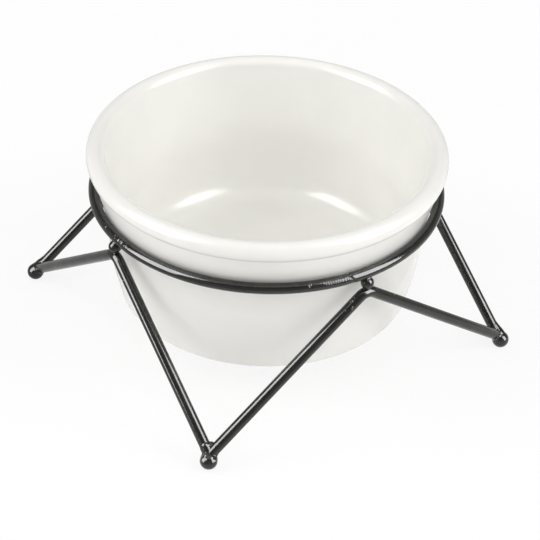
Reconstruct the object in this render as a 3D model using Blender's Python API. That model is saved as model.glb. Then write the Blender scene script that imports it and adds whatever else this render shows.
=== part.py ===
"""Raised pet food bowl: a glazed ceramic bowl that drops into a welded wire stand.

Run it with: blender --background --python part.py, or from Blender's text editor.
Metres, +Z up. The origin is on the ground at the middle of the stand, and the four feet lie on
the diagonals, so that each bent leg stands in a plane square to X or Y.
"""

from math import asin, atan2, cos, hypot, pi, radians, sin, sqrt, tan

import bmesh
import bpy
from mathutils import Matrix, Vector

MM = 0.001

# Bowl
RIM_RADIUS = 82.5 * MM
BOWL_HEIGHT = 77.4 * MM
LIP_ROUND = 4.1 * MM
LIP_BAND = 0.7 * MM
LIP_OVERHANG = 1.3 * MM
CREASE_ROUND = 0.8 * MM
SEAT_TAPER = radians(13.6)
WAIST_ROUND = 40.0 * MM
BELLY_INSET = 3.4 * MM
BELLY_HEIGHT = 23.5 * MM
BELLY_ROUND = 75.0 * MM
LOWER_TAPER = radians(12.5)
BASE_ROUND = 5.0 * MM
WALL = 6.5 * MM
FLOOR = 7.0 * MM
INSIDE_ROUND = 12.0 * MM
FOOT_RING_WIDTH = 5.0 * MM
RECESS_DEPTH = 1.6 * MM
RECESS_ROUND = 1.0 * MM

# Wire stand
WIRE_RADIUS = 2.5 * MM
RING_HEIGHT = 73.1 * MM
SEAT_DEPTH = 23.1 * MM
RING_JOINT_ANGLE = radians(-95.5)
RING_JOINT_WIDTH = 1.4 * MM
RING_JOINT_DEPTH = 0.6 * MM
LEG_OUTSET = 0.7 * MM
LEG_BEND = 6.0 * MM
SPACER_BALL_RADIUS = 3.0 * MM
FOOT_BALL_RADIUS = 4.0 * MM
FOOT_BALL_OUTSET = 1.5 * MM
FOOT_WIRE_RISE = 1.9 * MM
FOOT_FLAT_DEPTH = 0.25 * MM

# Fits: the bowl's clearance on the ring, how far a ball sinks into its wires, and the weld gap
SEAT_CLEARANCE = 0.3 * MM
RING_WELD_SINK = 0.5 * MM
LEG_WELD_SINK = 0.3 * MM
WELD_GAP = 0.3 * MM

# Facets
TURN_STEPS = 64
WIRE_SIDES = 16
BEND_STEPS = 8
BALL_SEGMENTS = 16
BALL_RINGS = 10
LIP_STEPS = 4
CORNER_STEPS = 5
WALL_STEPS = 4
SMALL_STEPS = 2
SHARP_ANGLE = radians(40)
MERGE = 0.001 * MM

# Heights and radii that follow from the sizes above
bowl_top = RING_HEIGHT + SEAT_DEPTH
bowl_base = bowl_top - BOWL_HEIGHT
lip_centre = Vector((RIM_RADIUS - LIP_ROUND, bowl_top - LIP_ROUND))


def seat_radius(height):
    """Outer radius, at a height, of the flared wall that the ring carries."""
    return RIM_RADIUS - LIP_OVERHANG - (lip_centre.y - height) * tan(SEAT_TAPER)


belly_radius = seat_radius(RING_HEIGHT) - BELLY_INSET
ring_radius = seat_radius(RING_HEIGHT) + (WIRE_RADIUS + SEAT_CLEARANCE) / cos(SEAT_TAPER)
leg_plane = ring_radius + LEG_OUTSET
spacer_height = RING_HEIGHT - WIRE_RADIUS + RING_WELD_SINK - SPACER_BALL_RADIUS
apex_height = spacer_height - SPACER_BALL_RADIUS + LEG_WELD_SINK - WIRE_RADIUS
foot_ball_height = FOOT_BALL_RADIUS - FOOT_FLAT_DEPTH
foot_ball_reach = hypot(leg_plane, leg_plane) + FOOT_BALL_OUTSET
foot_wire_height = foot_ball_height + FOOT_WIRE_RISE

SIDES = {"front": -90, "right": 0, "back": 90, "left": 180}
CORNERS = {"front_left": -135, "front_right": -45, "back_right": 45, "back_left": 135}


def clear_scene():
    for obj in list(bpy.data.objects):
        bpy.data.objects.remove(obj, do_unlink=True)


def material(name, colour, roughness, coat=0.0):
    made = bpy.data.materials.new(name)
    made.use_nodes = True
    shader = made.node_tree.nodes["Principled BSDF"]
    shader.inputs["Base Color"].default_value = (*colour, 1.0)
    shader.inputs["Roughness"].default_value = roughness
    shader.inputs["Coat Weight"].default_value = coat
    made.diffuse_color = (*colour, 1.0)
    return made


def new_empty(name, parent=None):
    empty = bpy.data.objects.new(name, None)
    empty.parent = parent
    bpy.context.collection.objects.link(empty)
    return empty


def new_object(name, bm, surface=None, parent=None):
    """An object from a closed bmesh, with its normals outward and its round faces smooth."""
    bmesh.ops.remove_doubles(bm, verts=bm.verts, dist=MERGE)
    bmesh.ops.recalc_face_normals(bm, faces=bm.faces)
    mesh = bpy.data.meshes.new(name)
    bm.to_mesh(mesh)
    bm.free()
    mesh.shade_smooth()
    mesh.set_sharp_from_angle(angle=SHARP_ANGLE)
    if surface:
        mesh.materials.append(surface)
    obj = bpy.data.objects.new(name, mesh)
    obj.parent = parent
    bpy.context.collection.objects.link(obj)
    return obj


def cut(obj, cutter):
    boolean = obj.modifiers.new("Cut by " + cutter.name, "BOOLEAN")
    boolean.operation = "DIFFERENCE"
    boolean.solver = "EXACT"
    boolean.object = cutter


def arc(centre, radius, start, end, steps):
    """Points on a circle in the radius-height plane, from one angle to another."""
    angles = [start + (end - start) * i / steps for i in range(steps + 1)]
    return [centre + radius * Vector((cos(a), sin(a))) for a in angles]


def arc_between(centre, first, last, steps):
    """The shorter arc about a centre from one point to another."""
    start = atan2(first.y - centre.y, first.x - centre.x)
    turn = (atan2(last.y - centre.y, last.x - centre.x) - start + pi) % (2 * pi) - pi
    return arc(centre, (first - centre).length, start, start + turn, steps)


def rounded(corners):
    """Points along a line through (corner, round, steps), its rounds kept within the sides they share."""
    points = [corner for corner, _, _ in corners]
    halves = [0.0] * len(points)
    reaches = [0.0] * len(points)
    for i in range(1, len(points) - 1):
        halves[i] = (points[i - 1] - points[i]).angle(points[i + 1] - points[i]) / 2
        reaches[i] = corners[i][1] / tan(halves[i])
    for i in range(len(points) - 1):
        spare = (points[i + 1] - points[i]).length / max(reaches[i] + reaches[i + 1], MERGE)
        if spare < 1:
            reaches[i] *= spare
            reaches[i + 1] *= spare

    line = [points[0]]
    for i in range(1, len(points) - 1):
        to_before = (points[i - 1] - points[i]).normalized()
        to_after = (points[i + 1] - points[i]).normalized()
        if corners[i][1] == 0:
            line.append(points[i])
            continue
        centre = points[i] + (to_before + to_after).normalized() * reaches[i] / cos(halves[i])
        first = points[i] + to_before * reaches[i]
        last = points[i] + to_after * reaches[i]
        line += arc_between(centre, first, last, corners[i][2])
    return line + [points[-1]]


def wall_line(radius, height, taper, inset=0.0):
    """A wall's line through a point, moved inwards by a thickness: its radius at the ground and its slope."""
    slope = tan(taper)
    return radius - height * slope - inset / cos(taper), slope


def at_height(line, height):
    return Vector((line[0] + line[1] * height, height))


def meet(line_a, line_b):
    return at_height(line_a, (line_b[0] - line_a[0]) / (line_a[1] - line_b[1]))


def lip_points():
    """The crease below the lip, the lip's outer side with its short upright band, and its top."""
    outward = Vector((cos(SEAT_TAPER), -sin(SEAT_TAPER)))
    down = Vector((-sin(SEAT_TAPER), -cos(SEAT_TAPER)))
    lower = lip_centre - Vector((0, LIP_BAND))
    across = (seat_radius(lower.y) - lower.x) * cos(SEAT_TAPER) + CREASE_ROUND
    along = sqrt((LIP_ROUND + CREASE_ROUND) ** 2 - across**2)
    centre = lower + outward * across + down * along
    on_wall = centre - outward * CREASE_ROUND
    on_lip = lower + (centre - lower).normalized() * LIP_ROUND
    crease = arc_between(centre, on_wall, on_lip, SMALL_STEPS)
    under = arc_between(lower, on_lip, lower + Vector((LIP_ROUND, 0)), SMALL_STEPS)
    over = arc(lip_centre, LIP_ROUND, 0, pi / 2, LIP_STEPS)
    return crease + under + over + arc(lip_centre, LIP_ROUND, pi / 2, pi - SEAT_TAPER, LIP_STEPS)


def bowl_profile():
    """The bowl's section: out along the underside, up the wall, over the lip and down the inside."""
    belly_mark = bowl_base + BELLY_HEIGHT
    seat_wall = wall_line(seat_radius(RING_HEIGHT), RING_HEIGHT, SEAT_TAPER)
    belly_wall = wall_line(belly_radius, belly_mark, 0.0)
    lower_wall = wall_line(belly_radius, belly_mark, LOWER_TAPER)
    base_corner = at_height(lower_wall, bowl_base)
    lip = lip_points()

    # The foot ring is the flat between the rounded corner and the recess
    corner_reach = BASE_ROUND / tan(pi / 4 + LOWER_TAPER / 2)
    ring_edge = Vector((base_corner.x - corner_reach - FOOT_RING_WIDTH, bowl_base))
    recess_edge = ring_edge + Vector((-RECESS_DEPTH, RECESS_DEPTH))
    outside = rounded(
        [
            (Vector((0.0, recess_edge.y)), 0.0, 0),
            (recess_edge, RECESS_ROUND, SMALL_STEPS),
            (ring_edge, 0.0, 0),
            (base_corner, BASE_ROUND, CORNER_STEPS),
            (meet(lower_wall, belly_wall), BELLY_ROUND, WALL_STEPS),
            (meet(belly_wall, seat_wall), WAIST_ROUND, WALL_STEPS),
            (lip[0], 0.0, 0),
        ]
    )

    inner_seat = wall_line(lip_centre.x, lip_centre.y, SEAT_TAPER, LIP_ROUND)
    inner_belly = wall_line(belly_radius, belly_mark, 0.0, WALL)
    inner_lower = wall_line(belly_radius, belly_mark, LOWER_TAPER, WALL)
    inside_floor = bowl_base + FLOOR
    inside = rounded(
        [
            (lip[-1], 0.0, 0),
            (meet(inner_belly, inner_seat), WAIST_ROUND + WALL, WALL_STEPS),
            (meet(inner_lower, inner_belly), BELLY_ROUND - WALL, WALL_STEPS),
            (at_height(inner_lower, inside_floor), INSIDE_ROUND, CORNER_STEPS),
            (Vector((0.0, inside_floor)), 0.0, 0),
        ]
    )
    return outside + lip + inside


def turn(bm, geom):
    """Turns a section about Z into a closed body."""
    bmesh.ops.spin(
        bm,
        geom=geom,
        axis=(0, 0, 1),
        cent=(0, 0, 0),
        angle=2 * pi,
        steps=TURN_STEPS,
        use_merge=True,
    )


def make_bowl(surface, parent):
    bm = bmesh.new()
    verts = [bm.verts.new((point.x, 0.0, point.y)) for point in bowl_profile()]
    edges = [bm.edges.new(pair) for pair in zip(verts, verts[1:])]
    turn(bm, verts + edges)
    return new_object("bowl", bm, surface, parent)


def cut_off(bm, point, normal):
    """Removes what lies beyond a plane, on the side its normal points to, and closes the end."""
    geom = [*bm.verts, *bm.edges, *bm.faces]
    bmesh.ops.bisect_plane(bm, geom=geom, plane_co=point, plane_no=normal, clear_outer=True)
    bmesh.ops.edgeloop_fill(bm, edges=[edge for edge in bm.edges if edge.is_boundary])


def make_ring(surface, parent):
    """The bent ring, with the small groove where its two ends are welded together."""
    bm = bmesh.new()
    section = Matrix.Translation((ring_radius, 0, RING_HEIGHT)) @ Matrix.Rotation(pi / 2, 4, "X")
    bmesh.ops.create_circle(bm, segments=WIRE_SIDES, radius=WIRE_RADIUS, matrix=section)
    turn(bm, [*bm.verts, *bm.edges])
    ring = new_object("stand_ring", bm, surface, parent)
    cut(ring, joint_cutter())
    return ring


def joint_cutter():
    """A collar with a V-shaped inner edge, which leaves a groove round the ring's wire."""
    groove_floor = WIRE_RADIUS - RING_JOINT_DEPTH
    collar_radius = 2 * WIRE_RADIUS
    half_width = RING_JOINT_WIDTH / 2 * (collar_radius - groove_floor) / RING_JOINT_DEPTH
    bm = bmesh.new()
    tip = bm.verts.new((groove_floor, 0, 0))
    sides = [bm.verts.new((collar_radius, half_width * side, 0)) for side in (-1, 1)]
    verts = [tip, *sides]
    edges = [bm.edges.new(pair) for pair in ((tip, sides[0]), (tip, sides[1]), sides)]
    bmesh.ops.spin(
        bm,
        geom=verts + edges,
        axis=(0, 1, 0),
        cent=(0, 0, 0),
        angle=2 * pi,
        steps=WIRE_SIDES,
        use_merge=True,
    )
    place = Matrix.Rotation(RING_JOINT_ANGLE, 4, "Z") @ Matrix.Translation((ring_radius, 0, RING_HEIGHT))
    bmesh.ops.transform(bm, matrix=place, verts=bm.verts)
    return as_cutter(new_object("ring_joint_groove", bm))


def as_cutter(obj):
    obj.hide_render = True
    obj.display_type = "WIRE"
    return obj


def face_of(geom):
    return next(item for item in geom if isinstance(item, bmesh.types.BMFace))


def whole(face):
    """A face with its edges and corners, so that an extrusion leaves no face inside the wire."""
    return [face, *face.edges, *face.verts]


def extrude_end(bm, end, along):
    """Moves a wire's end face on, and returns the new end face."""
    made = face_of(bmesh.ops.extrude_face_region(bm, geom=whole(end))["geom"])
    bmesh.ops.translate(bm, verts=list(made.verts), vec=along)
    return made


def leg_mesh():
    """One leg in the plane x = leg_plane: a wire bent over at the top, with a mitred end at each foot."""
    bend_centre = Vector((leg_plane, 0, apex_height - LEG_BEND))
    foot = Vector((leg_plane, -leg_plane, foot_wire_height))
    rise = bend_centre.z - foot.z
    reach = hypot(leg_plane, rise)
    slope = atan2(rise, leg_plane) + asin(LEG_BEND / reach)
    straight = sqrt(reach**2 - LEG_BEND**2)
    overrun = 2 * WIRE_RADIUS
    up = Vector((0, cos(slope), sin(slope)))
    down = Vector((0, cos(slope), -sin(slope)))

    bm = bmesh.new()
    start = Matrix.Translation(foot - up * overrun) @ Matrix.Rotation(pi / 2 + slope, 4, "X")
    bmesh.ops.create_circle(bm, cap_ends=True, segments=WIRE_SIDES, radius=WIRE_RADIUS, matrix=start)
    end = extrude_end(bm, face_of(bm.faces), up * (overrun + straight))
    bend = bmesh.ops.spin(
        bm, geom=whole(end), cent=bend_centre, axis=(1, 0, 0), angle=-2 * slope, steps=BEND_STEPS
    )
    extrude_end(bm, face_of(bend["geom_last"]), down * (straight + overrun))
    for side in (-1, 1):
        across = Vector((-1, side, 0)).normalized()
        corner = Vector((leg_plane, side * leg_plane, 0))
        cut_off(bm, corner - across * WELD_GAP / 2, across)
    return bm


def ball_mesh(centre, radius):
    bm = bmesh.new()
    place = Matrix.Translation(centre)
    bmesh.ops.create_uvsphere(
        bm, u_segments=BALL_SEGMENTS, v_segments=BALL_RINGS, radius=radius, matrix=place
    )
    return bm


def around(reach, degrees, height):
    return Vector((reach * cos(radians(degrees)), reach * sin(radians(degrees)), height))


def make_stand(surface, parent):
    ring = make_ring(surface, parent)
    foot_seats = {}
    for name, degrees in CORNERS.items():
        centre = around(foot_ball_reach, degrees, foot_ball_height)
        ball = ball_mesh(centre, FOOT_BALL_RADIUS)
        cut_off(ball, Vector((0, 0, 0)), Vector((0, 0, -1)))
        new_object("foot_ball_" + name, ball, surface, parent)
        seat = ball_mesh(centre, FOOT_BALL_RADIUS + WELD_GAP)
        foot_seats[degrees] = as_cutter(new_object("foot_seat_" + name, seat))
    for name, degrees in SIDES.items():
        centre = around(leg_plane, degrees, spacer_height)
        new_object("spacer_ball_" + name, ball_mesh(centre, SPACER_BALL_RADIUS), surface, parent)
        seat = ball_mesh(centre, SPACER_BALL_RADIUS + WELD_GAP)
        spacer_seat = as_cutter(new_object("spacer_seat_" + name, seat))
        bm = leg_mesh()
        bmesh.ops.rotate(bm, verts=bm.verts, matrix=Matrix.Rotation(radians(degrees), 3, "Z"))
        leg = new_object("leg_" + name, bm, surface, parent)
        cut(ring, spacer_seat)
        cut(leg, spacer_seat)
        for corner, foot_seat in foot_seats.items():
            if (corner - degrees) % 360 in (45, 315):
                cut(leg, foot_seat)


def main():
    clear_scene()
    glaze = material("white_glazed_ceramic", (0.83, 0.83, 0.81), 0.12, coat=0.5)
    coating = material("black_coated_steel", (0.02, 0.02, 0.019), 0.28)
    stand = new_empty("stand_origin")
    make_stand(coating, stand)
    make_bowl(glaze, new_empty("bowl_lift_axis", stand))


main()
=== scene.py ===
"""Raised pet food bowl: the glaze, the black coating and the welds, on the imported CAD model.

Run it as a script in Blender 4.5. Metres, +Z up, the ground at z = 0, and the ring's weld at the
front (-Y). Every piece has its place in its mesh, and its object stays at the origin.
"""

from math import acos, asin, atan2, cos, hypot, pi, radians, sin, sqrt, tan

import bmesh
import bpy
from bpy.props import FloatProperty, FloatVectorProperty, IntProperty, PointerProperty
from mathutils import Matrix, Quaternion, Vector, noise


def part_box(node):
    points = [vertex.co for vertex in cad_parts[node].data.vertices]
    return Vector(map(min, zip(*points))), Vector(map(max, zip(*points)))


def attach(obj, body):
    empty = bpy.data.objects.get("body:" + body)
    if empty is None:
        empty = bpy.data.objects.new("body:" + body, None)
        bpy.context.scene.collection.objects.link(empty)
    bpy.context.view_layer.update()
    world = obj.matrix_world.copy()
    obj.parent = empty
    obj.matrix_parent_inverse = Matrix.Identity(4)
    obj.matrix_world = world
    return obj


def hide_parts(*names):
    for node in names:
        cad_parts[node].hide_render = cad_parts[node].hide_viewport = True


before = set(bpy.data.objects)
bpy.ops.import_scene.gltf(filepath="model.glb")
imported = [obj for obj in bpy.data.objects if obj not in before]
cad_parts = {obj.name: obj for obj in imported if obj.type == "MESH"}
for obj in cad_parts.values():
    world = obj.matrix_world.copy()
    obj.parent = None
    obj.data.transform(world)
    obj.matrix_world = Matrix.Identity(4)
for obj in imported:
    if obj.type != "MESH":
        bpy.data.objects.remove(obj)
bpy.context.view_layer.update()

bl_info = {
    "name": "Raised Pet Food Bowl",
    "version": (1, 0, 0),
    "blender": (4, 5, 0),
    "location": "View3D > Sidebar > Pet Bowl",
    "description": "Builds a glazed bowl in a welded wire stand, with its finishes and a studio",
    "category": "Object",
}

MM = 0.001

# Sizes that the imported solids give
bowl_low, bowl_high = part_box("bowl")
ring_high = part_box("stand_ring")[1]
leg_low, leg_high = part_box("leg_right")
WIRE_RADIUS = (leg_high.x - leg_low.x) / 2
LEG_PLANE = (leg_high.x + leg_low.x) / 2

SIDES = {"front": -90, "right": 0, "back": 90, "left": 180}
CORNERS = {"front_left": -135, "front_right": -45, "back_right": 45, "back_left": 135}

BOWL_MIDDLE = Vector((0, 0, (bowl_low.z + bowl_high.z) / 2))

# How deep the hidden end of a weld lies in a wire, and how far it follows the wire from a small
# ball and from a foot
WELD_SINK = 0.05 * MM
WELD_REACH = 7 * MM
FOOT_WELD_REACH = 9.8 * MM

# How each foot is welded: how far up its two legs the weld metal reaches, and its radius at the
# ball, the radius of the drop between the legs, and how uneven the metal is
FOOT_FILLS = {
    "front_left": ((2.4 * MM, 2.0 * MM), (2.4 * MM, 2.0 * MM), 1.35 * MM, 0.6 * MM),
    "front_right": ((2.6 * MM, 2.6 * MM), (6.6 * MM, 3.85 * MM), 0.7 * MM, 0.16 * MM),
    "back_right": ((5.2 * MM, 3.6 * MM), (3.0 * MM, 2.8 * MM), 1.0 * MM, 0.35 * MM),
    "back_left": ((6.4 * MM, 3.85 * MM), (2.2 * MM, 2.4 * MM), 0.6 * MM, 0.18 * MM),
}

# How much of a leg's radius rounds its ends, which lie hidden in the feet
END_ROUND = 0.62

# Arcs of the ring, in degrees, and the length of their steps: fine where its surface is uneven
RING_ARCS = (
    (-114, -92, 0.14 * MM),
    (-92, 164, 1.2 * MM),
    (164, 190, 0.2 * MM),
    (190, 246, 1.2 * MM),
)

# How many sides a wire has, and a wire or a ball that goes into a blended weld
WIRE_SIDES = 36
WELD_SIDES = 32

# The ring's welded joint: a slanting groove, a filed stretch to the left of it with faint
# serrations, and a V-shaped nick beyond. Turns go about the wire, from its outer side up. An edge
# gives the two distances, or the two turns in radians, between which a form dies away.
JOINT_SLANT = 1.8 * MM
JOINT_DEPTH = 0.45 * MM
JOINT_EDGE = (0.05 * MM, 0.55 * MM)
FILED_TURN = radians(42)
FILED_DEPTH = 0.2 * MM
FILED_EDGE = (0.5 * MM, 9 * MM)
FILED_ROUGHNESS = 0.08 * MM
SERRATION_PITCH = 1.15 * MM
SERRATION_DEPTH = 0.045 * MM
SERRATION_EDGE = (11 * MM, 15 * MM)
SERRATION_TURN_EDGE = (0.5, 1.1)
NICK_AZIMUTH = radians(-110.3)
NICK_TURN = radians(36)
NICK_SPREAD = 5 * MM
NICK_DEPTH = 0.18 * MM
NICK_EDGE = (0.1 * MM, 0.45 * MM)
NICK_TURN_EDGE = (0.26, 0.42)

# Rough patches on top of the ring: the middle of each and half its length, in degrees
ROUGH_PATCHES = ((172.5, 5.0), (183.5, 4.5))
PATCH_TURN = radians(85)
PATCH_TURN_EDGE = (0.6, 1.3)
PATCH_HEIGHT = 0.06 * MM
PATCH_ROUGHNESS = 0.2 * MM

# Drops of weld metal on the legs: leg, end it lies towards, distance from the bend's middle,
# turn about the wire in degrees from its outer side, and radius
SPATTER = (
    ("front", -1, 5.9 * MM, 87, 0.28 * MM),
    ("front", -1, 7.4 * MM, 75, 0.35 * MM),
    ("front", -1, 8.3 * MM, 84, 0.25 * MM),
    ("front", -1, 9.3 * MM, 33, 0.37 * MM),
    ("front", -1, 10.1 * MM, 22, 0.30 * MM),
    ("front", -1, 12.6 * MM, 58, 0.24 * MM),
    ("front", 1, 16.2 * MM, 70, 0.30 * MM),
    ("left", 1, 12.4 * MM, 15, 0.35 * MM),
    ("left", -1, 17.0 * MM, 55, 0.31 * MM),
    ("right", -1, 14.1 * MM, 40, 0.40 * MM),
    ("right", 1, 21.0 * MM, 75, 0.31 * MM),
    ("back", 1, 15.0 * MM, 25, 0.37 * MM),
    ("back", -1, 19.2 * MM, 58, 0.33 * MM),
)

# How tall a drop is against its width
DROP_FLATNESS = 0.7

# The paper floor: its flat radius, and the round, radius and height of the wall it sweeps up into
FLOOR_RADIUS = 3.0
SWEEP_ROUND = 0.6
SWEEP_RADIUS = 3.6
SWEEP_HEIGHT = 1.5

# Distances from the middle between which the floor turns to plain white for the camera, and
# distances from a point in front between which glossy surfaces see it turn from bright to dim: the
# dim floor is a painted shadow of the object that only reflections show
WHITENING = (0.2, 0.9)
BRIGHT_POINT = (0.03, -0.12, 0.0)
DIMMING = (0.13, 0.28)

# How far the lamps hang from the middle of the ground
LAMP_DISTANCE = 1.7

# The photograph's camera: its place, the point it looks at, its roll in degrees and its lens
CAMERA_PLACE = Vector((-0.397711, -0.589631, 0.547516))
CAMERA_AIM = Vector((0.002214, -0.001494, 0.024523))
CAMERA_ROLL = 1.7
CAMERA_LENS = 123.344


def length(name, default, description):
    return FloatProperty(
        name=name,
        description=description,
        default=default,
        min=0.0,
        precision=5,
        subtype="DISTANCE",
        unit="LENGTH",
    )


def angle(name, default, description):
    return FloatProperty(
        name=name,
        description=description,
        default=radians(default),
        subtype="ANGLE",
        unit="ROTATION",
    )


def colour(name, default, description):
    return FloatVectorProperty(
        name=name,
        description=description,
        default=default,
        size=3,
        min=0.0,
        max=1.0,
        subtype="COLOR",
    )


def level(name, default, description):
    return FloatProperty(name=name, description=description, default=default, min=0.0)


class PETBOWL_PG_bowl(bpy.types.PropertyGroup):
    """Sizes of the bowl's section."""

    rim_radius: length("Rim radius", bowl_high.x, "Outer radius of the lip")
    top: length("Top", bowl_high.z, "Height of the lip above the ground")
    base: length("Base", bowl_low.z, "Height of the foot ring above the ground")
    lip_round: length("Lip round", 4.1 * MM, "Radius of the rolled lip's section")
    lip_band: length("Lip band", 0.7 * MM, "Height of the upright band on the lip's outer side")
    lip_overhang: length("Lip overhang", 1.3 * MM, "How far the lip stands out over the wall")
    crease_round: length("Crease round", 0.8 * MM, "Radius of the glaze pooled below the lip")
    flare: angle("Flare", 13.6, "How far the upper wall leans out")
    waist_round: length("Waist round", 40 * MM, "Radius where the flare meets the belly")
    belly_radius: length("Belly radius", 73.2 * MM, "Outer radius of the upright belly")
    belly_height: length("Belly height", 23.5 * MM, "Height above the base where the taper starts")
    belly_round: length("Belly round", 75 * MM, "Radius where the belly meets the lower taper")
    taper: angle("Lower taper", 12.5, "How far the lower wall leans in")
    base_round: length("Base round", 5 * MM, "Radius at the bottom edge")
    wall: length("Wall", 6.5 * MM, "Thickness of the wall")
    floor: length("Floor", 7 * MM, "Thickness of the floor, foot ring included")
    inside_round: length("Inside round", 12 * MM, "Radius between the wall and the floor inside")
    foot_ring: length("Foot ring", 5 * MM, "Width of the unglazed ring under the base")
    foot_ring_edge: length("Foot ring edge", 0.4 * MM, "Radius of that ring's inner edge")
    recess: length("Recess", 1.6 * MM, "Depth of the hollow under the base")
    recess_round: length("Recess round", 1 * MM, "Radius between the hollow and the foot ring")
    bare_height: length("Bare height", 0.25 * MM, "How far up from the base the clay is bare")
    turn_steps: IntProperty(
        name="Turn steps", description="Steps round the bowl", default=256, min=32
    )


class PETBOWL_PG_stand(bpy.types.PropertyGroup):
    """Sizes of the wire stand."""

    wire_radius: length("Wire radius", WIRE_RADIUS, "Radius of the ring's and the legs' wire")
    ring_radius: length(
        "Ring radius", ring_high.x - WIRE_RADIUS, "Radius of the ring's centre line"
    )
    ring_height: length(
        "Ring height", ring_high.z - WIRE_RADIUS, "Height of the ring's centre line"
    )
    joint_angle: angle("Ring joint", -95.5, "Where the ring's two ends are welded together")
    leg_plane: length("Leg plane", LEG_PLANE, "Distance of each leg's plane from the middle")
    leg_bend: length("Leg bend", 6 * MM, "Radius of the bend at each leg's top")
    apex_height: length("Apex height", 62.9 * MM, "Height of the wire's centre line at the bend")
    foot_wire: length("Foot wire height", 5.65 * MM, "Height where two legs' centre lines meet")
    end_overrun: length("End overrun", 1.6 * MM, "How far a leg's rounded end passes the corner")
    spacer_radius: length("Spacer ball radius", 3 * MM, "Radius of the balls under the ring")
    spacer_height: length("Spacer ball height", 68.1 * MM, "Height of those balls' middle")
    foot_radius: length("Foot ball radius", 4 * MM, "Radius of the balls that stand on the ground")
    foot_height: length("Foot ball height", 3.75 * MM, "Height of the foot balls' middle")
    foot_outset: length(
        "Foot ball outset", 1.5 * MM, "How far a foot ball lies outside the corner"
    )
    weld_voxel: length("Weld voxel", 0.22 * MM, "Fineness of the blended welds")


class PETBOWL_PG_finish(bpy.types.PropertyGroup):
    """Colours of the glaze, the clay and the coating."""

    glaze: colour("Glaze", (0.874, 0.865, 0.828), "White glaze")
    # The darker glaze colour serves random tone and pinholes, and also paints shade into the
    # crease under the lip
    glaze_dark_and_crease_shade: colour("Darker glaze and crease shade", (0.60, 0.60, 0.575), "Darker glaze, and painted shade in the crease under the lip")
    clay: colour("Clay", (0.66, 0.60, 0.51), "Bare fired clay of the foot ring")
    coating: colour("Coating", (0.0122, 0.0124, 0.0106), "Black gloss coating of the wire")
    # Drops of weld metal are painted light grey: partly coating worn thin, partly a painted glint
    coating_worn_and_glint: colour(
        "Worn coating and painted glint", (0.22, 0.22, 0.21), "Coating worn thin on drops of weld metal, painted light grey as a glint"
    )
    dust: colour("Dust", (0.32, 0.31, 0.29), "Dust that settles on upper sides")


class PETBOWL_PG_stage(bpy.types.PropertyGroup):
    """Levels of the studio."""

    floor: colour("Floor", (0.94, 0.94, 0.94), "Paper floor and sweep")
    floor_glow: level("Floor white", 0.85, "Share of plain white in the floor near the object")
    # The floor's brightness in gloss: its dimmer far value paints the object's shadow into
    # reflections
    floor_gloss: level("Floor in gloss", 1.0, "Brightness of the front floor as gloss shows it")
    floor_gloss_far: level(
        "Far floor in gloss", 0.4, "The same, behind the object and further off"
    )
    sky: level("Sky", 0.47, "Even light from all round")
    sky_gloss: level("Sky in gloss", 0.15, "Brightness of that light as gloss shows it")
    left_box: level("Left box", 3.3, "Brightness of the left softbox")
    right_box: level("Right box", 3.3, "Brightness of the right softbox")
    glint: level("Glint", 12.0, "Brightness of the softboxes as gloss shows them")
    ceiling: level("Ceiling", 1.2, "Brightness of the ceiling as gloss shows it")
    fill: level("Fill", 1.2, "Brightness of the large fill light over the camera")


class PETBOWL_PG_settings(bpy.types.PropertyGroup):
    """All the settings of the pet bowl."""

    bowl: PointerProperty(type=PETBOWL_PG_bowl)
    stand: PointerProperty(type=PETBOWL_PG_stand)
    finish: PointerProperty(type=PETBOWL_PG_finish)
    stage: PointerProperty(type=PETBOWL_PG_stage)


# Node trees


def add_node(tree, kind, inputs=None, **settings):
    """A shader node. An input is given a value, or the socket that feeds it."""
    node = tree.nodes.new("ShaderNode" + kind)
    for name, value in settings.items():
        setattr(node, name, value)
    for name, value in (inputs or {}).items():
        if isinstance(value, bpy.types.NodeSocket):
            tree.links.new(value, node.inputs[name])
        else:
            node.inputs[name].default_value = value
    return node


def maths(tree, operation, *values):
    return add_node(tree, "Math", dict(enumerate(values)), operation=operation).outputs[0]


def ramp(tree, value, start, end, low=0.0, high=1.0, interpolation="SMOOTHSTEP"):
    """A value carried over from one range to another, without passing its ends."""
    inputs = {"Value": value, "From Min": start, "From Max": end, "To Min": low, "To Max": high}
    return add_node(tree, "MapRange", inputs, interpolation_type=interpolation).outputs["Result"]


def lay_out(tree):
    """Puts the nodes in columns, each to the left of what it feeds."""
    column = {node: 0 for node in tree.nodes}
    for _ in tree.nodes:
        for link in tree.links:
            column[link.from_node] = max(column[link.from_node], column[link.to_node] + 1)
    rows = {}
    for node in tree.nodes:
        row = rows.setdefault(column[node], 0)
        rows[column[node]] = row + 1
        node.location = (-240 * column[node], -260 * row)


def new_group(name, inputs, outputs):
    """An empty shader group with its sockets, and its input and output nodes."""
    group = bpy.data.node_groups.new(name, "ShaderNodeTree")
    for label, value in inputs.items():
        socket = group.interface.new_socket(label, in_out="INPUT", socket_type="NodeSocketFloat")
        socket.default_value = value
    for label in outputs:
        group.interface.new_socket(label, in_out="OUTPUT", socket_type="NodeSocketFloat")
    given = group.nodes.new("NodeGroupInput").outputs
    return group, given, group.nodes.new("NodeGroupOutput").inputs


def noise_of(tree, wavelength, detail, sharpness=0.5):
    """Noise on Object coordinates, with its wavelength in metres."""
    place = add_node(tree, "TexCoord").outputs["Object"]
    scale = maths(tree, "DIVIDE", 1.0, wavelength)
    inputs = {"Vector": place, "Scale": scale, "Detail": detail, "Roughness": sharpness}
    return add_node(tree, "TexNoise", inputs).outputs["Fac"]


def make_relief_group():
    """Uneven height of a surface, in metres, for a Bump node."""
    inputs = {"Wavelength": 0.01, "Depth": 0.0001}
    group, given, result = new_group("surface_relief", inputs, ["Height"])
    fac = noise_of(group, given["Wavelength"], 2.0)
    centred = maths(group, "SUBTRACT", fac, 0.5)
    group.links.new(maths(group, "MULTIPLY", centred, given["Depth"]), result["Height"])
    return group


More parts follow.
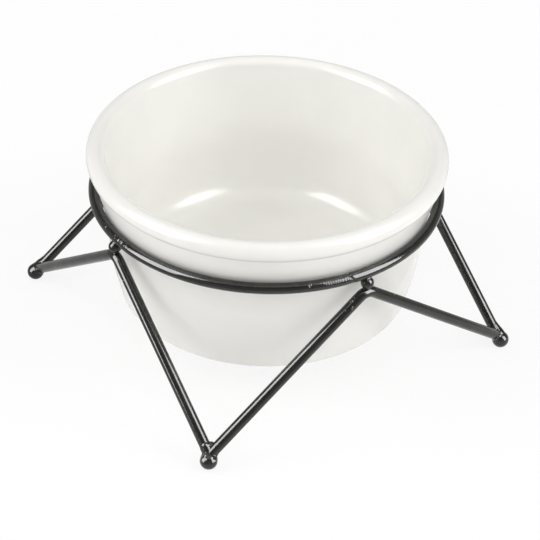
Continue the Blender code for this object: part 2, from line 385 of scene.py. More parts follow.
def make_drift_group():
    """A value that drifts between two ends over the surface."""
    inputs = {"Wavelength": 0.02, "Low": 0.0, "High": 1.0}
    group, given, result = new_group("value_drift", inputs, ["Value"])
    fac = noise_of(group, given["Wavelength"], 3.0)
    group.links.new(ramp(group, fac, 0.3, 0.7, given["Low"], given["High"]), result["Value"])
    return group


def make_speck_group():
    """Scattered round specks, in a share of the cells. Their radius is a share of the spacing."""
    inputs = {"Spacing": 0.004, "Radius": 0.2, "Share": 0.3}
    group, given, result = new_group("specks", inputs, ["Mask"])
    place = add_node(group, "TexCoord").outputs["Object"]
    scale = maths(group, "DIVIDE", 1.0, given["Spacing"])
    cells = add_node(group, "TexVoronoi", {"Vector": place, "Scale": scale})
    dome = ramp(group, cells.outputs["Distance"], given["Radius"], 0.0)
    red = add_node(group, "SeparateColor", {"Color": cells.outputs["Color"]}).outputs["Red"]
    chosen = maths(group, "LESS_THAN", red, given["Share"])
    group.links.new(maths(group, "MULTIPLY", dome, chosen), result["Mask"])
    return group


def make_dust_group():
    """Fine dust on surfaces that face up, broken up by noise."""
    inputs = {"Wavelength": 0.006, "Cover": 0.5}
    group, given, result = new_group("settled_dust", inputs, ["Mask"])
    normal = add_node(group, "NewGeometry").outputs["Normal"]
    up = add_node(group, "SeparateXYZ", {"Vector": normal}).outputs["Z"]
    fac = noise_of(group, given["Wavelength"], 6.0, 0.7)
    patches = ramp(group, fac, 0.42, 0.75, interpolation="LINEAR")
    amount = maths(group, "MULTIPLY", ramp(group, up, 0.15, 0.95), patches)
    group.links.new(maths(group, "MULTIPLY", amount, given["Cover"]), result["Mask"])
    return group


def make_band_group():
    """A soft band at one height, outside a least radius about the bowl's axis."""
    inputs = {"Height": 0.05, "Width": 0.001, "Least Radius": 0.0}
    group, given, result = new_group("height_band", inputs, ["Mask"])
    place = add_node(group, "TexCoord").outputs["Object"]
    parts = add_node(group, "SeparateXYZ", {"Vector": place}).outputs
    away = maths(group, "ABSOLUTE", maths(group, "SUBTRACT", parts["Z"], given["Height"]))
    squares = [maths(group, "MULTIPLY", parts[axis], parts[axis]) for axis in "XY"]
    radius = maths(group, "SQRT", maths(group, "ADD", *squares))
    outside = maths(group, "GREATER_THAN", radius, given["Least Radius"])
    band = ramp(group, away, given["Width"], 0.0)
    group.links.new(maths(group, "MULTIPLY", band, outside), result["Mask"])
    return group


def make_groups():
    for make in (
        make_relief_group,
        make_drift_group,
        make_speck_group,
        make_dust_group,
        make_band_group,
    ):
        lay_out(make())


def grouped(tree, name, **inputs):
    """The first output of a shader group, placed with its own values."""
    node = tree.nodes.new("ShaderNodeGroup")
    node.node_tree = bpy.data.node_groups[name]
    for label, value in inputs.items():
        node.inputs[label.replace("_", " ")].default_value = value
    return node.outputs[0]


def mixed(tree, factor, first, second):
    """A colour between two others. On a colour mix, inputs 6 and 7 are the colours A and B."""
    inputs = {"Factor": factor, 6: (*first, 1.0), 7: (*second, 1.0)}
    return add_node(tree, "Mix", inputs, data_type="RGBA").outputs[2]


def bumped(tree, *heights):
    """A normal from heights in metres, added together."""
    total = heights[0]
    for height in heights[1:]:
        total = maths(tree, "ADD", total, height)
    inputs = {"Height": total, "Distance": 1.0, "Strength": 1.0}
    return add_node(tree, "Bump", inputs).outputs["Normal"]


def new_material(name):
    """A material with its node tree and its Principled BSDF."""
    made = bpy.data.materials.new(name)
    made.use_nodes = True
    return made.node_tree, made.node_tree.nodes["Principled BSDF"]


def feed(tree, shader, **sockets):
    for name, socket in sockets.items():
        tree.links.new(socket, shader.inputs[name.replace("_", " ")])


def make_glaze(finish, bowl):
    """White glaze, a little darker at random and in pinholes, with painted shade: a darker band
    along the crease under the lip.
    """
    tree, shader = new_material("white_glaze")
    crease = bowl.top - 2 * bowl.lip_round - 0.4 * MM
    # Painted shade: a darker band of glaze colour along the crease under the lip
    crease_shade = grouped(
        tree, "height_band", Height=crease, Width=0.9 * MM, Least_Radius=bowl.rim_radius - 4 * MM
    )
    drift = grouped(tree, "value_drift", Wavelength=30 * MM, Low=0.0, High=0.1)
    tone = maths(tree, "MAXIMUM", drift, maths(tree, "MULTIPLY", crease_shade, 0.55))
    pinholes = grouped(tree, "specks", Spacing=9 * MM, Radius=0.035, Share=0.25)
    tone = maths(tree, "MAXIMUM", tone, maths(tree, "MULTIPLY", pinholes, 0.5))
    feed(
        tree,
        shader,
        Base_Color=mixed(tree, tone, finish.glaze, finish.glaze_dark_and_crease_shade),
        Roughness=grouped(tree, "value_drift", Wavelength=18 * MM, Low=0.17, High=0.25),
        Normal=bumped(
            tree,
            grouped(tree, "surface_relief", Wavelength=16 * MM, Depth=0.09 * MM),
            grouped(tree, "surface_relief", Wavelength=3 * MM, Depth=0.006 * MM),
            maths(tree, "MULTIPLY", pinholes, -0.05 * MM),
        ),
    )
    shader.inputs["Specular IOR Level"].default_value = 0.3
    lay_out(tree)


def make_clay(finish):
    """Bare fired clay, rough and speckled with grog."""
    tree, shader = new_material("bare_clay")
    grog = grouped(tree, "specks", Spacing=1.4 * MM, Radius=0.3, Share=0.35)
    drift = grouped(tree, "value_drift", Wavelength=6 * MM, Low=0.0, High=0.35)
    darker = [c * 0.72 for c in finish.clay]
    feed(
        tree,
        shader,
        Base_Color=mixed(tree, maths(tree, "MAXIMUM", drift, grog), finish.clay, darker),
        Roughness=grouped(tree, "value_drift", Wavelength=4 * MM, Low=0.78, High=0.95),
        Normal=bumped(
            tree,
            grouped(tree, "surface_relief", Wavelength=0.7 * MM, Depth=0.06 * MM),
            maths(tree, "MULTIPLY", grog, 0.03 * MM),
        ),
    )
    lay_out(tree)


def make_coating(name, colour, dust_colour, peel, lumps):
    """A gloss coating. Peel is its fine texture's depth, lumps that of the metal under it."""
    tree, shader = new_material(name)
    dust = grouped(tree, "settled_dust", Wavelength=5 * MM, Cover=0.04)
    nibs = grouped(tree, "specks", Spacing=2.6 * MM, Radius=0.09, Share=0.22)
    haze = grouped(tree, "value_drift", Wavelength=7 * MM, Low=0.08, High=0.18)
    grain = grouped(tree, "value_drift", Wavelength=45 * MM, Low=0.6, High=2.4)
    fine = grouped(tree, "surface_relief", Wavelength=0.8 * MM, Depth=peel)
    feed(
        tree,
        shader,
        Base_Color=mixed(tree, dust, colour, dust_colour),
        Roughness=maths(tree, "ADD", haze, maths(tree, "MULTIPLY", dust, 0.6)),
        Coat_Weight=grouped(tree, "value_drift", Wavelength=12 * MM, Low=0.0, High=0.2),
        Normal=bumped(
            tree,
            maths(tree, "MULTIPLY", grain, fine),
            grouped(tree, "surface_relief", Wavelength=3.2 * MM, Depth=lumps),
            maths(tree, "MULTIPLY", nibs, 0.05 * MM),
        ),
    )
    shader.inputs["Coat Roughness"].default_value = 0.05
    lay_out(tree)


def make_floor_paper(stage):
    """Pale paper that keeps the shadow, and that the camera sees nearer to white.

    Glossy surfaces see it bright in front of the object and dim further off. The dim floor is a
    painted shadow of the object that only reflections show.
    """
    tree, shader = new_material("pale_paper")
    place = add_node(tree, "TexCoord").outputs["Object"]
    reach = add_node(tree, "VectorMath", {0: place}, operation="LENGTH").outputs["Value"]
    glow = ramp(tree, reach, *WHITENING, stage.floor_glow, 1.0)
    inputs = {0: place, 1: BRIGHT_POINT}
    reach = add_node(tree, "VectorMath", inputs, operation="DISTANCE").outputs["Value"]
    # Painted shadow in reflections: the floor that glossy rays see dims behind the object and
    # further off
    gloss = ramp(tree, reach, *DIMMING, stage.floor_gloss, stage.floor_gloss_far)
    ray = add_node(tree, "LightPath").outputs
    seen = maths(tree, "MAXIMUM", ray["Is Camera Ray"], ray["Is Transmission Ray"])
    seen = maths(tree, "MAXIMUM", seen, ray["Is Glossy Ray"])
    brightness = ramp(tree, ray["Is Glossy Ray"], 0.0, 1.0, 1.0, gloss)
    tint = grouped(tree, "value_drift", Wavelength=90 * MM, Low=0.0, High=0.02)
    darker = [c * 0.9 for c in stage.floor]
    feed(
        tree,
        shader,
        Base_Color=mixed(tree, tint, stage.floor, darker),
        Normal=bumped(tree, grouped(tree, "surface_relief", Wavelength=1.5 * MM, Depth=0.01 * MM)),
    )
    shader.inputs["Roughness"].default_value = 0.9
    shader.inputs["Specular IOR Level"].default_value = 0.1
    white = add_node(tree, "Emission", {"Color": (1.0, 1.0, 1.0, 1.0), "Strength": brightness})
    share = maths(tree, "MULTIPLY", glow, seen)
    blend = add_node(tree, "MixShader", {0: share, 1: shader.outputs[0], 2: white.outputs[0]})
    tree.links.new(blend.outputs[0], tree.nodes["Material Output"].inputs["Surface"])
    lay_out(tree)


# Meshes


def as_piece(name, bm, materials, body, slot, *nodes):
    """A finished piece that rides on a body and stands for its CAD nodes."""
    mesh = bpy.data.meshes.new(name)
    bm.to_mesh(mesh)
    bm.free()
    mesh.shade_smooth()
    for material in materials:
        mesh.materials.append(bpy.data.materials[material])
    piece = bpy.data.objects.new(name, mesh)
    bpy.context.scene.collection.objects.link(piece)
    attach(piece, body)
    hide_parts(*nodes)


def settle(bm):
    """Merges doubles and turns the faces outwards."""
    bmesh.ops.remove_doubles(bm, verts=bm.verts, dist=0.001 * MM)
    bmesh.ops.recalc_face_normals(bm, faces=bm.faces)


def round_corner(bm, corner, radius, segments):
    """Turns a corner of a section line into an arc."""
    sides = [edge.other_vert(corner).co - corner.co for edge in corner.link_edges]
    reach = radius / tan(sides[0].angle(sides[1]) / 2)
    bmesh.ops.bevel(
        bm,
        geom=[corner],
        offset=reach,
        offset_type="OFFSET",
        segments=segments,
        profile=0.5,
        affect="VERTICES",
        clamp_overlap=True,
        material=-1,
    )


def full_turn(bm, steps):
    """Spins a section line once round the axis."""
    line = [*bm.verts, *bm.edges]
    axis = {"axis": (0, 0, 1), "cent": (0, 0, 0)}
    bmesh.ops.spin(bm, geom=line, angle=2 * pi, steps=steps, use_merge=True, **axis)
    settle(bm)


def bowl_section(bm, size):
    """The bowl's section as a line: underside, outer wall, lip, inner wall and floor."""
    flare, taper = tan(size.flare), tan(size.taper)
    lip_radius = size.rim_radius - size.lip_round
    lip_height = size.top - size.lip_round
    wall_radius = size.rim_radius - size.lip_overhang
    waist_height = lip_height - (wall_radius - size.belly_radius) / flare
    taper_mark = size.base + size.belly_height
    base_radius = size.belly_radius - size.belly_height * taper
    hollow_radius = base_radius - size.base_round / tan(pi / 4 + size.taper / 2) - size.foot_ring

    # The lip's underside leaves its round at 60 degrees and meets the flared wall in the crease
    under_turn = pi / 3
    under_height = lip_height - size.lip_band - size.lip_round * tan(under_turn / 2)
    drop = size.rim_radius - wall_radius + (lip_height - under_height) * flare
    drop /= tan(under_turn) - flare
    crease = (size.rim_radius - drop * tan(under_turn), under_height - drop)

    inner_top = lip_radius - size.lip_round * (1 / cos(size.flare) - tan(size.flare))
    inner_belly = size.belly_radius - size.wall
    inner_waist = size.top - (inner_top - inner_belly) / flare
    inner_mark = taper_mark + size.wall * (1 / cos(size.taper) - 1) / taper
    inside = size.base + size.floor
    hollow = size.base + size.recess

    # Each corner's radius and height, its round and the steps of the round
    corners = [
        ((0, hollow), 0, 0),
        ((hollow_radius - size.recess, hollow), size.recess_round, 6),
        ((hollow_radius, size.base), size.foot_ring_edge, 3),
        ((base_radius, size.base), size.base_round, 14),
        ((size.belly_radius, taper_mark), size.belly_round, 14),
        ((size.belly_radius, waist_height), size.waist_round, 12),
        (crease, size.crease_round, 8),
        ((size.rim_radius, under_height), size.lip_round, 10),
        ((size.rim_radius, size.top), size.lip_round, 14),
        ((inner_top, size.top), size.lip_round, 12),
        ((inner_belly, inner_waist), size.waist_round + size.wall, 12),
        ((inner_belly, inner_mark), size.belly_round - size.wall, 14),
        ((inner_belly - (inner_mark - inside) * taper, inside), size.inside_round, 16),
        ((0, inside), 0, 0),
    ]
    verts = [bm.verts.new((radius, 0, height)) for (radius, height), _, _ in corners]
    for pair in zip(verts, verts[1:]):
        bm.edges.new(pair)
    for vert, (_, radius, segments) in zip(verts, corners):
        if segments:
            round_corner(bm, vert, radius, segments)


def make_bowl_mesh(size):
    """The whole bowl. Its second material is the bare clay that it stands on."""
    bm = bmesh.new()
    bowl_section(bm, size)
    full_turn(bm, size.turn_steps)
    for face in bm.faces:
        height = face.calc_center_median().z - size.base
        face.material_index = 1 if height < size.bare_height else 0
    return bm


def whole(face):
    """A face with its edges and corners, so that an extrusion leaves no face inside."""
    return [face, *face.edges, *face.verts]


def face_of(geom):
    return next(item for item in geom if isinstance(item, bmesh.types.BMFace))


def extrude_end(bm, end, along):
    """Moves a wire's end face on, and returns the new end face."""
    made = face_of(bmesh.ops.extrude_face_region(bm, geom=whole(end))["geom"])
    bmesh.ops.translate(bm, verts=list(made.verts), vec=along)
    return made


def round_end(bm, end, radius, segments):
    bmesh.ops.bevel(
        bm,
        geom=[*end.edges, *end.verts],
        offset=radius,
        offset_type="OFFSET",
        segments=segments,
        profile=0.5,
        affect="EDGES",
        clamp_overlap=True,
        material=-1,
    )


def leg_line(stand):
    """The leg's slope, its straight length and its bend's middle, in the plane x = leg_plane."""
    bend_centre = Vector((stand.leg_plane, 0, stand.apex_height - stand.leg_bend))
    rise = bend_centre.z - stand.foot_wire
    reach = hypot(stand.leg_plane, rise)
    slope = atan2(rise, stand.leg_plane) + asin(stand.leg_bend / reach)
    return slope, sqrt(reach**2 - stand.leg_bend**2), bend_centre


def leg_mesh(stand, radius, sides, bend_steps):
    """One bent leg in the plane x = leg_plane, its rounded ends a little past the corners."""
    slope, straight, bend_centre = leg_line(stand)
    up = Vector((0, cos(slope), sin(slope)))
    down = Vector((0, cos(slope), -sin(slope)))
    foot = Vector((stand.leg_plane, -stand.leg_plane, stand.foot_wire))
    bm = bmesh.new()
    start = Matrix.Translation(foot - up * stand.end_overrun)
    start @= Matrix.Rotation(pi / 2 + slope, 4, "X")
    bmesh.ops.create_circle(bm, cap_ends=True, segments=sides, radius=radius, matrix=start)
    end = extrude_end(bm, face_of(bm.faces), up * (stand.end_overrun + straight))
    turn = {"cent": bend_centre, "axis": (1, 0, 0), "angle": -2 * slope}
    bend = bmesh.ops.spin(bm, geom=whole(end), steps=bend_steps, **turn)
    extrude_end(bm, face_of(bend["geom_last"]), down * (straight + stand.end_overrun))
    for cap in [face for face in bm.faces if len(face.verts) == sides]:
        round_end(bm, cap, END_ROUND * radius, 6)
    return bm


def turned(bm, degrees):
    turn = Matrix.Rotation(radians(degrees), 3, "Z")
    bmesh.ops.rotate(bm, verts=bm.verts, cent=(0, 0, 0), matrix=turn)
    return bm


def cut_off(bm, point, normal):
    """Removes what lies beyond a plane, on the side its normal points to, and closes the end."""
    geom = [*bm.verts, *bm.edges, *bm.faces]
    bmesh.ops.bisect_plane(bm, geom=geom, plane_co=point, plane_no=normal, clear_outer=True)
    bmesh.ops.edgeloop_fill(bm, edges=[edge for edge in bm.edges if edge.is_boundary])


def add_spatter(bm, stand, end, distance, turn, radius):
    """A low drop of weld metal on a leg that stands in the plane x = leg_plane."""
    slope, _, bend_centre = leg_line(stand)
    along = Vector((0, end * cos(slope), -sin(slope)))
    upward = Vector((0, end * sin(slope), cos(slope)))
    outward = Vector((cos(radians(turn)), 0, 0)) + upward * sin(radians(turn))
    bend_end = bend_centre + upward * stand.leg_bend
    past_bend = distance - stand.leg_bend * slope
    centre = bend_end + along * past_bend + outward * stand.wire_radius
    place = Matrix.Translation(centre) @ Matrix.Scale(DROP_FLATNESS, 4, outward)
    made = bmesh.ops.create_icosphere(bm, subdivisions=3, radius=radius, matrix=place)
    # The drop takes the second material: worn coating painted light grey, partly a painted glint
    for face in {face for vert in made["verts"] for face in vert.link_faces}:
        face.material_index = 1


def append(bm, other):
    """Adds another bmesh's faces."""
    mesh = bpy.data.meshes.new("joined")
    other.to_mesh(mesh)
    other.free()
    bm.from_mesh(mesh)
    bpy.data.meshes.remove(mesh)


def ball(centre, radius, segments=WELD_SIDES):
    bm = bmesh.new()
    steps = {"u_segments": segments, "v_segments": segments // 2}
    bmesh.ops.create_uvsphere(bm, radius=radius, matrix=Matrix.Translation(centre), **steps)
    return bm


def hull_of(first, first_radius, second, second_radius):
    """Weld metal stretched straight from one ball to another."""
    bm = ball(first, first_radius, segments=24)
    append(bm, ball(second, second_radius, segments=24))
    bmesh.ops.delete(bm, geom=list(bm.edges), context="EDGES_FACES")
    made = bmesh.ops.convex_hull(bm, input=list(bm.verts), use_existing_faces=False)
    inner = [item for item in made["geom_interior"] if isinstance(item, bmesh.types.BMVert)]
    bmesh.ops.delete(bm, geom=inner, context="VERTS")
    return bm


def blended(parts, voxel, smoothing):
    """One skin round overlapping solids, with the creases between them smoothed into fillets."""
    joined = bmesh.new()
    for part in parts:
        settle(part)
        append(joined, part)
    mesh = bpy.data.meshes.new("weld_parts")
    joined.to_mesh(mesh)
    joined.free()
    holder = bpy.data.objects.new("weld_parts", mesh)
    bpy.context.scene.collection.objects.link(holder)
    remesh = holder.modifiers.new("One skin", "REMESH")
    remesh.mode = "VOXEL"
    remesh.voxel_size = voxel
    skinned = holder.evaluated_get(bpy.context.evaluated_depsgraph_get())
    bm = bmesh.new()
    bm.from_mesh(skinned.to_mesh())
    skinned.to_mesh_clear()
    bpy.data.objects.remove(holder)
    bpy.data.meshes.remove(mesh)
    every_axis = {"use_axis_x": True, "use_axis_y": True, "use_axis_z": True}
    for _ in range(smoothing):
        bmesh.ops.smooth_vert(bm, verts=bm.verts, factor=0.5, **every_axis)
    return bm


def around(reach, degrees, height):
    return Vector((reach * cos(radians(degrees)), reach * sin(radians(degrees)), height))


def fade(value, near, far):
    """1 up to near, 0 from far on, smooth between."""
    t = min(max((far - value) / (far - near), 0.0), 1.0)
    return t * t * (3 - 2 * t)


def add_lumps(bm, centre, near, far, depth, wavelength):
    """Uneven weld metal: moves the surface in and out near a point."""
    bm.normal_update()
    for vert in bm.verts:
        amount = fade((vert.co - centre).length, near, far)
        if amount:
            vert.co += vert.normal * amount * depth * noise.noise(vert.co / wavelength)


def ring_mesh(stand):
    """The ring as one closed wire, spun in arcs that are finer where it is welded."""
    bm = bmesh.new()
    start = Matrix.Rotation(radians(RING_ARCS[0][0]), 4, "Z")
    start @= Matrix.Translation((stand.ring_radius, 0, stand.ring_height))
    start @= Matrix.Rotation(pi / 2, 4, "X")
    bmesh.ops.create_circle(bm, segments=WIRE_SIDES, radius=stand.wire_radius, matrix=start)
    last = [*bm.verts, *bm.edges]
    axis = {"axis": (0, 0, 1), "cent": (0, 0, 0)}
    for first, end, step in RING_ARCS:
        sweep = radians(end - first)
        steps = round(sweep * stand.ring_radius / step)
        last = bmesh.ops.spin(bm, geom=last, angle=sweep, steps=steps, **axis)["geom_last"]
    settle(bm)
    return bm


def angle_between(first, second):
    """The signed turn from the second angle to the first, in radians, at most half a turn."""
    return (first - second + pi) % (2 * pi) - pi


def joint_relief(along, turn, place):
    """The groove of the ring's joint, and the filed and serrated stretch on one side of it."""
    slanted = along + JOINT_SLANT * sin(turn)
    relief = -JOINT_DEPTH * fade(abs(slanted), *JOINT_EDGE)
    if slanted < 0:
        relief -= FILED_DEPTH * fade(-slanted, *FILED_EDGE)
        from_middle = abs(turn - FILED_TURN)
        filed = fade(-slanted, *SERRATION_EDGE) * fade(from_middle, *SERRATION_TURN_EDGE)
        waver = noise.noise(place / (2.2 * MM))
        relief += filed * SERRATION_DEPTH * sin(2 * pi * (along / SERRATION_PITCH + 0.8 * waver))
        relief += filed * FILED_ROUGHNESS * noise.noise(place / (0.9 * MM))
    return relief


def nick_relief(along, turn):
    """A nick whose two arms spread along the ring, away from its point."""
    from_point = abs(turn - NICK_TURN)
    from_arm = abs(along - NICK_SPREAD * from_point)
    return -NICK_DEPTH * fade(from_arm, *NICK_EDGE) * fade(from_point, *NICK_TURN_EDGE)


def patch_relief(away, half, turn, place):
    """A rough patch, at an angle from its middle along the ring and at a turn about the wire."""
    patch = fade(away, half / 2, half) * fade(abs(turn - PATCH_TURN), *PATCH_TURN_EDGE)
    return patch * (PATCH_HEIGHT + PATCH_ROUGHNESS * noise.noise(place / (0.8 * MM)))


def ring_relief(stand, azimuth, turn, place):
    """How far the ring's surface lies from its plain wire.

    Turn is the angle about the wire, 0 on its outer side and a quarter turn on top.
    """
    from_joint = stand.ring_radius * angle_between(azimuth, stand.joint_angle)
    from_nick = stand.ring_radius * angle_between(azimuth, NICK_AZIMUTH)
    relief = joint_relief(from_joint, turn, place) + nick_relief(from_nick, turn)
    for middle, half in ROUGH_PATCHES:
        away = abs(angle_between(azimuth, radians(middle)))
        relief += patch_relief(away, radians(half), turn, place)
    return relief


def add_ring_relief(bm, stand):
    """Moves the ring's surface in and out, all of it from the plain wire's normals."""
    bm.normal_update()
    moves = []
    for vert in bm.verts:
        away = hypot(vert.co.x, vert.co.y) - stand.ring_radius
        turn = atan2(vert.co.z - stand.ring_height, away)
        azimuth = atan2(vert.co.y, vert.co.x)
        moves.append(vert.normal * ring_relief(stand, azimuth, turn, vert.co))
    for vert, move in zip(bm.verts, moves):
        vert.co += move


def spacer_mesh(stand, degrees):
    """A small ball with its welds: to the ring above it and to the leg's bend below it."""
    centre = Vector((stand.leg_plane, 0, stand.spacer_height))
    radius = stand.wire_radius - WELD_SINK
    ring_arc = bmesh.new()
    arc = 2 * WELD_REACH / stand.ring_radius
    place = Matrix.Rotation(-arc / 2, 4, "Z")
    place @= Matrix.Translation((stand.ring_radius, 0, stand.ring_height))
    place @= Matrix.Rotation(pi / 2, 4, "X")
    section = {"segments": WELD_SIDES, "radius": radius, "cap_ends": True}
    bmesh.ops.create_circle(ring_arc, matrix=place, **section)
    first = whole(face_of(ring_arc.faces))
    bmesh.ops.spin(ring_arc, geom=first, axis=(0, 0, 1), cent=(0, 0, 0), angle=arc, steps=6)
    bend = leg_mesh(stand, radius, sides=WELD_SIDES, bend_steps=16)
    for side in (-1, 1):
        cut_off(bend, Vector((0, side * WELD_REACH, 0)), Vector((0, side, 0)))
    parts = [ball(centre, stand.spacer_radius), ring_arc, bend]
    bm = turned(blended(parts, stand.weld_voxel, smoothing=6), degrees)
    lumps = {"near": 1.2 * MM, "far": 3 * MM, "depth": 0.14 * MM, "wavelength": 1.6 * MM}
    for end in (1, -1):
        height = stand.spacer_height + end * stand.spacer_radius
        add_lumps(bm, around(stand.leg_plane, degrees, height), **lumps)
    return bm


def foot_mesh(stand, degrees, fills):
    """A foot ball with its weld: metal that runs from the ends of two legs down to the ball."""
    *leg_fills, drop_radius, unevenness = fills
    reach = hypot(stand.leg_plane, stand.leg_plane)
    corner = around(reach, degrees, stand.foot_wire)
    centre = around(reach + stand.foot_outset, degrees, stand.foot_height)
    radius = stand.wire_radius - WELD_SINK
    slope = leg_line(stand)[0]

    # The drop sits where the surfaces of the two legs part, on the line midway between them
    between = around(-cos(slope), degrees, 0) * sqrt(0.5) + Vector((0, 0, sin(slope)))
    parting = stand.wire_radius / sin(acos(sin(slope) ** 2) / 2)
    drop = corner + between.normalized() * (parting + drop_radius / 3)

    parts = [ball(centre, stand.foot_radius), ball(drop, drop_radius)]
    ends = ((degrees - 45, 1), (degrees + 45, -1))
    for (side, end), (fill_reach, fill_radius) in zip(ends, leg_fills):
        inward = around(-end, side + 90, 0)
        wire = turned(leg_mesh(stand, radius, sides=WELD_SIDES, bend_steps=8), side)
        cut_off(wire, corner + inward * FOOT_WELD_REACH, inward)
        upward = inward * cos(slope) + Vector((0, 0, sin(slope)))
        parts += [wire, hull_of(corner + upward * fill_reach, radius, centre, fill_radius)]
    bm = blended(parts, stand.weld_voxel, smoothing=7)
    lumps = {"near": 2.5 * MM, "far": 7 * MM, "depth": unevenness, "wavelength": 2.3 * MM}
    add_lumps(bm, corner + Vector((0, 0, 1.5 * MM)), **lumps)

    # Lumps end at the ground
    for vert in bm.verts:
        vert.co.z = max(vert.co.z, 0.0)
    return bm


def make_sky(stage):
    """Even light from all round, less bright where glossy surfaces show it."""
    world = bpy.data.worlds.new("studio_sky")
    world.use_nodes = True
    tree = world.node_tree
    background = tree.nodes["Background"].inputs
    background["Color"].default_value = (1.0, 1.0, 1.0, 1.0)
    glossy = add_node(tree, "LightPath").outputs["Is Glossy Ray"]
    strength = ramp(tree, glossy, 0.0, 1.0, stage.sky, stage.sky_gloss)
    tree.links.new(strength, background["Strength"])
    lay_out(tree)
    return world


def make_floor():
    """A round paper floor whose edge sweeps up into a low wall."""
    bm = bmesh.new()
    points = ((0, 0, 0), (FLOOR_RADIUS, 0, 0), (SWEEP_RADIUS, 0, SWEEP_HEIGHT))
    verts = [bm.verts.new(point) for point in points]
    for pair in zip(verts, verts[1:]):
        bm.edges.new(pair)
    round_corner(bm, verts[1], SWEEP_ROUND, 10)
    full_turn(bm, 96)
    if max(bm.faces, key=lambda face: face.calc_area()).normal.z < 0:
        bmesh.ops.reverse_faces(bm, faces=bm.faces)
    mesh = bpy.data.meshes.new("paper_sweep")
    bm.to_mesh(mesh)
    bm.free()
    mesh.shade_smooth()
    mesh.materials.append(bpy.data.materials["pale_paper"])
    floor = bpy.data.objects.new("paper_sweep", mesh)
    bpy.context.scene.collection.objects.link(floor)


def hang_softbox(name, azimuth, elevation, width, height, radiance, lights):
    """An area lamp that faces the bowl, as bright whatever its size.

    It either lights surfaces or only shows in their gloss.
    """
    flat = LAMP_DISTANCE * cos(radians(elevation))
    light = bpy.data.lights.new(name, "AREA")
    light.shape = "RECTANGLE"
    light.size = width
    light.size_y = height
    light.energy = radiance * pi * width * height
    lamp = bpy.data.objects.new(name, light)
    lamp.location = around(flat, azimuth, LAMP_DISTANCE * sin(radians(elevation)))
    lamp.rotation_mode = "QUATERNION"
    lamp.rotation_quaternion = (BOWL_MIDDLE - lamp.location).to_track_quat("-Z", "Y")
    lamp.visible_camera = False
    lamp.visible_diffuse = lights
    lamp.visible_glossy = not lights
    bpy.context.scene.collection.objects.link(lamp)


def place_camera(scene):
    """The photograph's viewing angle, with the camera rolled a little."""
    camera = bpy.data.cameras.new("camera")
    camera.sensor_width = 36
    camera.lens = CAMERA_LENS
    camera.clip_start, camera.clip_end = 0.05, 20
    holder = bpy.data.objects.new("camera", camera)
    holder.location = CAMERA_PLACE
    holder.rotation_mode = "QUATERNION"
    aim = (CAMERA_AIM - CAMERA_PLACE).to_track_quat("-Z", "Y")
    holder.rotation_quaternion = aim @ Quaternion((0, 0, 1), radians(CAMERA_ROLL))
    scene.collection.objects.link(holder)
    scene.camera = holder


# Operators


class PETBOWL_OT_finishes(bpy.types.Operator):
    """Make the node groups and the materials"""

    bl_idname = "petbowl.finishes"
    bl_label = "Finishes"
    bl_options = {"REGISTER", "UNDO"}

    def execute(self, context):
        settings = context.scene.pet_bowl
        make_groups()
        make_glaze(settings.finish, settings.bowl)
        make_clay(settings.finish)
        for name, tone, peel, lumps in (
            ("black_coating", settings.finish.coating, 0.012 * MM, 0.02 * MM),
            ("black_coating_on_weld", settings.finish.coating, 0.02 * MM, 0.10 * MM),
            # The drops' light grey is partly worn coating and partly a painted glint
            ("worn_coating_and_glint_on_drops", settings.finish.coating_worn_and_glint, 0.03 * MM, 0.05 * MM),
        ):
            make_coating(name, tone, settings.finish.dust, peel, lumps)
        make_floor_paper(settings.stage)
        return {"FINISHED"}


class PETBOWL_OT_bowl(bpy.types.Operator):
    """Turn the glazed bowl from its section"""

    bl_idname = "petbowl.bowl"
    bl_label = "Bowl"
    bl_options = {"REGISTER", "UNDO"}

    def execute(self, context):
        bm = make_bowl_mesh(context.scene.pet_bowl.bowl)
        coats = ["white_glaze", "bare_clay"]
        as_piece("bowl_glazed", bm, coats, "bowl_body", "white_glazed_ceramic", "bowl")
        return {"FINISHED"}


class PETBOWL_OT_ring(bpy.types.Operator):
    """Bend the ring, with its welded joint and rough patches"""

    bl_idname = "petbowl.ring"
    bl_label = "Stand ring"
    bl_options = {"REGISTER", "UNDO"}

    def execute(self, context):
        stand = context.scene.pet_bowl.stand
        bm = ring_mesh(stand)
        add_ring_relief(bm, stand)
        as_piece("ring_wire", bm, ["black_coating"], "stand", "black_coated_steel", "stand_ring")
        return {"FINISHED"}


class PETBOWL_OT_legs(bpy.types.Operator):
    """Bend the four legs, with drops of weld metal near their bends"""

    bl_idname = "petbowl.legs"
    bl_label = "Legs"
    bl_options = {"REGISTER", "UNDO"}

    def execute(self, context):
        stand = context.scene.pet_bowl.stand
        for side, degrees in SIDES.items():
            bm = leg_mesh(stand, stand.wire_radius, sides=WIRE_SIDES, bend_steps=20)
            settle(bm)
            for leg, *drop in SPATTER:
                if leg == side:
                    add_spatter(bm, stand, *drop)
            turned(bm, degrees)
            name = "leg_" + side
            coats = ["black_coating", "worn_coating_and_glint_on_drops"]
            as_piece(name + "_wire", bm, coats, "stand", "black_coated_steel", name)
        return {"FINISHED"}


class PETBOWL_OT_spacer_balls(bpy.types.Operator):
    """Weld the four small balls between the ring and the legs' bends"""

    bl_idname = "petbowl.spacer_balls"
    bl_label = "Spacer balls"
    bl_options = {"REGISTER", "UNDO"}

    def execute(self, context):
        stand = context.scene.pet_bowl.stand
        for side, degrees in SIDES.items():
            name = "spacer_ball_" + side
            bm = spacer_mesh(stand, degrees)
            coats = ["black_coating_on_weld"]
            as_piece(name + "_welded", bm, coats, "stand", "black_coated_steel", name)
        return {"FINISHED"}


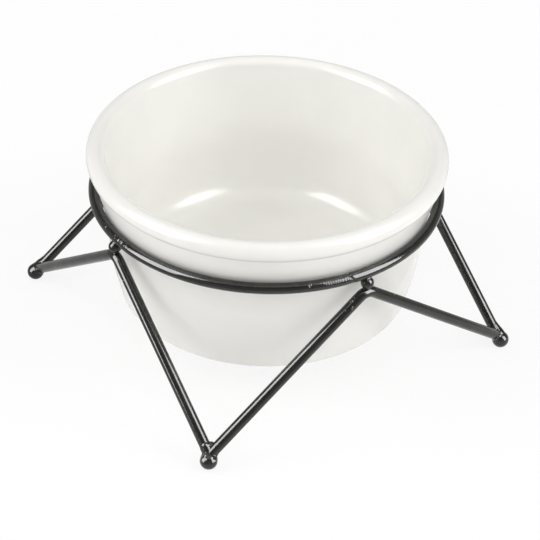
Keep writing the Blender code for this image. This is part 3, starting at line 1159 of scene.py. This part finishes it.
class PETBOWL_OT_foot_balls(bpy.types.Operator):
    """Weld the four foot balls to the ends of the legs"""

    bl_idname = "petbowl.foot_balls"
    bl_label = "Foot balls"
    bl_options = {"REGISTER", "UNDO"}

    def execute(self, context):
        stand = context.scene.pet_bowl.stand
        for corner, degrees in CORNERS.items():
            name = "foot_ball_" + corner
            bm = foot_mesh(stand, degrees, FOOT_FILLS[corner])
            coats = ["black_coating_on_weld"]
            as_piece(name + "_welded", bm, coats, "stand", "black_coated_steel", name)
        return {"FINISHED"}


class PETBOWL_OT_stage(bpy.types.Operator):
    """Lay the pale floor, hang the softboxes and place the camera"""

    bl_idname = "petbowl.stage"
    bl_label = "Stage"
    bl_options = {"REGISTER", "UNDO"}

    def execute(self, context):
        scene = context.scene
        stage = scene.pet_bowl.stage
        make_floor()

        # Azimuth and elevation in degrees, width, height, brightness, and whether it lights
        # surfaces or only shows in their gloss
        for lamp in (
            ("left_softbox", 152, 36, 0.95, 1.2, stage.left_box, True),
            ("right_softbox", -48, 36, 0.95, 1.2, stage.right_box, True),
            ("front_fill", -124, 45, 1.4, 1.1, stage.fill, True),
            ("left_glint", 166, 31, 1.1, 1.65, stage.glint, False),
            ("right_glint", -55, 32, 1.05, 1.65, stage.glint, False),
            ("ceiling_glint", 56, 88, 2.0, 2.0, stage.ceiling, False),
        ):
            hang_softbox(*lamp)
        scene.world = make_sky(stage)
        place_camera(scene)
        scene.view_settings.view_transform = "Standard"
        return {"FINISHED"}


class PETBOWL_PT_panel(bpy.types.Panel):
    """The pieces and their settings."""

    bl_idname = "PETBOWL_PT_panel"
    bl_label = "Pet Bowl"
    bl_space_type = "VIEW_3D"
    bl_region_type = "UI"
    bl_category = "Pet Bowl"

    def draw(self, context):
        column = self.layout.column(align=True)
        for operator in OPERATORS:
            column.operator(operator.bl_idname)
        settings = context.scene.pet_bowl
        for title, group in (
            ("Bowl", settings.bowl),
            ("Stand", settings.stand),
            ("Finish", settings.finish),
            ("Stage", settings.stage),
        ):
            box = self.layout.box()
            box.label(text=title)
            for name in group.bl_rna.properties.keys():
                if name not in ("rna_type", "name"):
                    box.prop(group, name)


OPERATORS = (
    PETBOWL_OT_finishes,
    PETBOWL_OT_bowl,
    PETBOWL_OT_ring,
    PETBOWL_OT_legs,
    PETBOWL_OT_spacer_balls,
    PETBOWL_OT_foot_balls,
    PETBOWL_OT_stage,
)
CLASSES = (
    PETBOWL_PG_bowl,
    PETBOWL_PG_stand,
    PETBOWL_PG_finish,
    PETBOWL_PG_stage,
    PETBOWL_PG_settings,
    *OPERATORS,
    PETBOWL_PT_panel,
)


def register():
    for made in CLASSES:
        bpy.utils.register_class(made)
    bpy.types.Scene.pet_bowl = PointerProperty(type=PETBOWL_PG_settings)


def unregister():
    del bpy.types.Scene.pet_bowl
    for made in reversed(CLASSES):
        bpy.utils.unregister_class(made)


def main():
    register()
    for operator in OPERATORS:
        family, name = operator.bl_idname.split(".")
        getattr(getattr(bpy.ops, family), name)()


if __name__ == "__main__":
    main()
